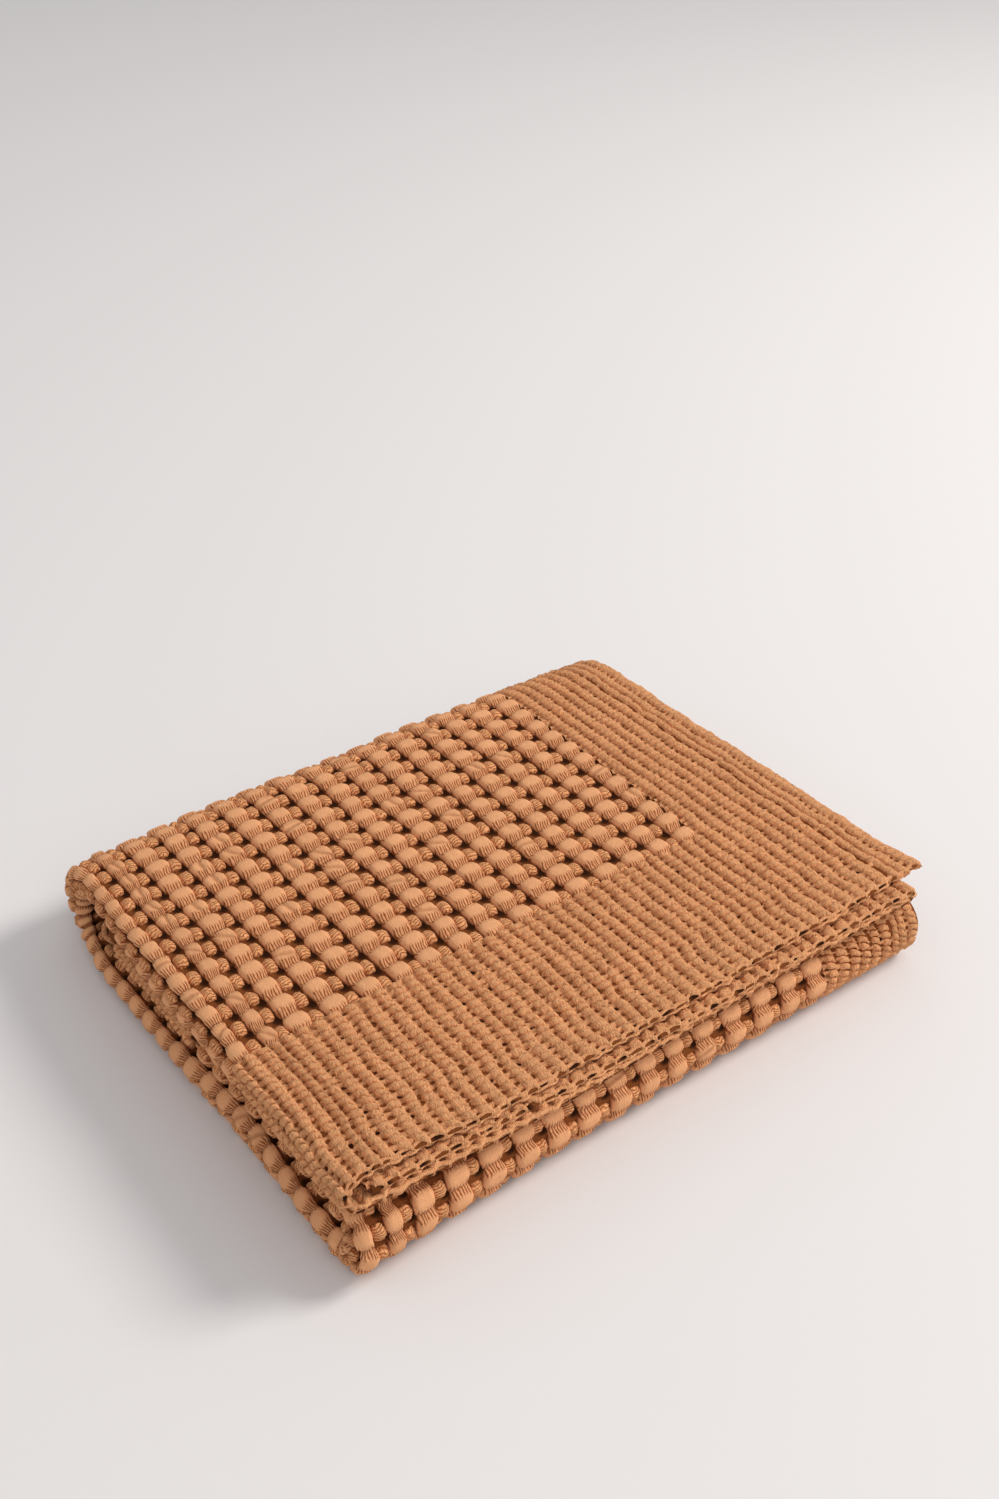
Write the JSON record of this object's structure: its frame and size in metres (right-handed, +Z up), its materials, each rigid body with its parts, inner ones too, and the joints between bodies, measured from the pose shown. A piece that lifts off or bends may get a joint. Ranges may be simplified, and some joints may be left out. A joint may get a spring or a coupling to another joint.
{
  "type": "folded waffle weave cotton blanket",
  "caption": "Folded cotton blanket in a deep popcorn waffle weave with ribbed borders, lying as a flat stack of soft layers.",
  "frame": {"origin": "centre of the bounding box's base, on the surface that the folded blanket lies on", "axes": "+X along the folded length, towards the top layer's hem; +Y across, towards the rounded outer fold; +Z up"},
  "size_m": [0.5948, 0.4924, 0.0946],
  "materials": {
    "cotton": "matt washed cotton, terracotta, raised weave"
  },
  "bodies": {
    "root": {"blanket": "cotton"}
  },
  "joints": []
}
